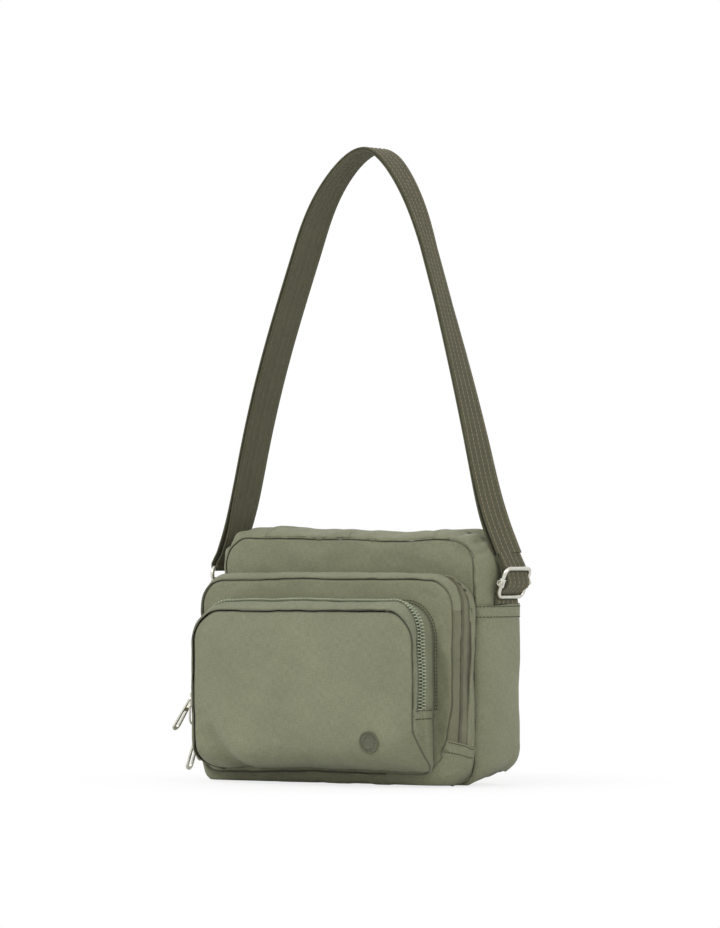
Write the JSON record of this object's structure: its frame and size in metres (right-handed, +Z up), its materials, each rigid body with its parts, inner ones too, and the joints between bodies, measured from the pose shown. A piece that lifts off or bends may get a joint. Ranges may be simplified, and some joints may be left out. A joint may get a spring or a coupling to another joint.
{
  "type": "crossbody purse",
  "caption": "Soft crossbody bag with three stacked zipped compartments, side slip pockets and an adjustable doubled webbing strap with a metal slider and ring.",
  "frame": {"origin": "on the floor under the middle of the main compartment", "axes": "+Z up along the standing strap, +Y from the front pocket to the back, +X to the right as seen from the front"},
  "size_m": [0.3095, 0.1336, 0.533],
  "materials": {
    "nylon_cloth": "matte",
    "strap_webbing": "matte",
    "zip_tape": "matte",
    "zip_teeth": "satin",
    "zip_coil": "satin",
    "satin_metal": "satin",
    "badge_rubber": "matte"
  },
  "bodies": {
    "main_bag": {"main_back_panel": "nylon_cloth", "main_front_panel": "nylon_cloth", "main_gusset": "nylon_cloth", "main_zip_end_tapes": "zip_tape", "main_zip_end_chains": "zip_coil", "side_pocket_right": "nylon_cloth", "side_pocket_left": "nylon_cloth", "middle_gusset_base": "nylon_cloth", "middle_gusset_rear": "nylon_cloth", "middle_zip_tape_rear": "zip_tape", "middle_zip_chain_rear": "zip_coil", "middle_zip_tape_lower": "zip_tape", "middle_zip_chain_lower": "zip_coil", "middle_zip_tabs": "nylon_cloth", "strap_anchor_right": "strap_webbing", "strap_anchor_left": "strap_webbing"},
    "mouth_front": {"main_mouth_front": "nylon_cloth", "main_zip_tape_front": "zip_tape", "main_zip_chain_front": "zip_coil"},
    "mouth_rear": {"main_mouth_rear": "nylon_cloth", "main_zip_tape_rear": "zip_tape", "main_zip_chain_rear": "zip_coil"},
    "main_slider": {"main_zip_slider": "satin_metal"},
    "main_pull": {"main_zip_pull": "satin_metal"},
    "middle_flap": {"middle_front_panel": "nylon_cloth", "middle_gusset_front": "nylon_cloth", "middle_zip_tape_front": "zip_tape", "middle_zip_chain_front": "zip_coil", "pocket_gusset_base": "nylon_cloth", "pocket_gusset_rear": "nylon_cloth", "pocket_zip_tape_rear": "zip_tape", "pocket_zip_chain_rear": "zip_teeth", "pocket_zip_tape_lower": "zip_tape", "pocket_zip_chain_lower": "zip_teeth", "pocket_zip_tabs": "nylon_cloth", "pocket_panel_lower": "nylon_cloth", "round_badge": "badge_rubber"},
    "pocket_flap": {"pocket_panel_upper": "nylon_cloth", "pocket_gusset_front": "nylon_cloth", "pocket_zip_tape_front": "zip_tape", "pocket_zip_chain_front": "zip_teeth"},
    "middle_slider": {"middle_zip_slider": "satin_metal"},
    "middle_pull": {"middle_zip_pull": "satin_metal"},
    "middle_loop": {"middle_zip_loop": "satin_metal"},
    "pocket_slider": {"pocket_zip_slider": "satin_metal"},
    "pocket_pull": {"pocket_zip_pull": "satin_metal"},
    "pocket_loop": {"pocket_zip_loop": "satin_metal"},
    "strap": {"strap_outer_ply": "strap_webbing", "strap_inner_ply": "strap_webbing", "strap_threaded_run": "strap_webbing", "strap_slider_loop": "strap_webbing", "strap_slider_frame": "satin_metal", "strap_slider_bar": "satin_metal", "left_ring": "satin_metal", "strap_ring_loop": "strap_webbing", "left_ring_tab": "strap_webbing"}
  },
  "joints": [
    {"name": "mouth_front_hinge", "type": "hinge", "parent": "main_bag", "child": "mouth_front", "pos_m": [0, -0.03, 0.203], "axis": [1, 0, 0], "range_deg": [0, 80]},
    {"name": "mouth_rear_hinge", "type": "hinge", "parent": "main_bag", "child": "mouth_rear", "pos_m": [0, 0.03, 0.203], "axis": [-1, 0, 0], "range_deg": [0, 80]},
    {"name": "main_slider_travel", "type": "slide", "parent": "main_bag", "child": "main_slider", "axis": [1, 0, 0], "range_m": [0, 0.183], "deforming": ["main_zip_chain_front", "main_zip_chain_rear", "main_zip_end_chains"]},
    {"name": "main_pull_hinge", "type": "hinge", "parent": "main_slider", "child": "main_pull", "pos_m": [-0.0891, 0, 0.21535], "axis": [0, 1, 0], "range_deg": [0, 150]},
    {"name": "middle_flap_hinge", "type": "hinge", "parent": "main_bag", "child": "middle_flap", "pos_m": [0, -0.063, 0.009], "axis": [1, 0, 0], "range_deg": [0, 25]},
    {"name": "pocket_flap_hinge", "type": "hinge", "parent": "middle_flap", "child": "pocket_flap", "pos_m": [0, -0.1, 0.084], "axis": [1, 0, 0], "range_deg": [0, 60]},
    {"name": "middle_slider_travel", "type": "slide", "parent": "main_bag", "child": "middle_slider", "axis": [0, 0, 1], "range_m": [0, 0.1], "deforming": ["middle_zip_chain_front", "middle_zip_chain_rear", "middle_zip_chain_lower"]},
    {"name": "middle_pull_hinge", "type": "hinge", "parent": "middle_slider", "child": "middle_pull", "pos_m": [-0.13135, -0.052, 0.0418], "axis": [0, 1, 0], "range_deg": [0, 120]},
    {"name": "middle_loop_hinge", "type": "hinge", "parent": "middle_slider", "child": "middle_loop", "pos_m": [-0.13135, -0.052, 0.0368], "axis": [0, 1, 0], "range_deg": [0, 15]},
    {"name": "pocket_slider_travel", "type": "slide", "parent": "middle_flap", "child": "pocket_slider", "axis": [0, 0, 1], "range_m": [0, 0.043], "deforming": ["pocket_zip_chain_front", "pocket_zip_chain_rear", "pocket_zip_chain_lower"]},
    {"name": "pocket_pull_hinge", "type": "hinge", "parent": "pocket_slider", "child": "pocket_pull", "pos_m": [-0.11735, -0.082, 0.0718], "axis": [0, 1, 0], "range_deg": [0, 120]},
    {"name": "pocket_loop_hinge", "type": "hinge", "parent": "pocket_slider", "child": "pocket_loop", "pos_m": [-0.11735, -0.082, 0.0668], "axis": [0, 1, 0], "range_deg": [0, 15]},
    {"name": "strap_swing", "type": "hinge", "parent": "main_bag", "child": "strap", "pos_m": [0, 0, 0.152], "axis": [-1, 0, 0], "range_deg": [-85, 85]}
  ]
}
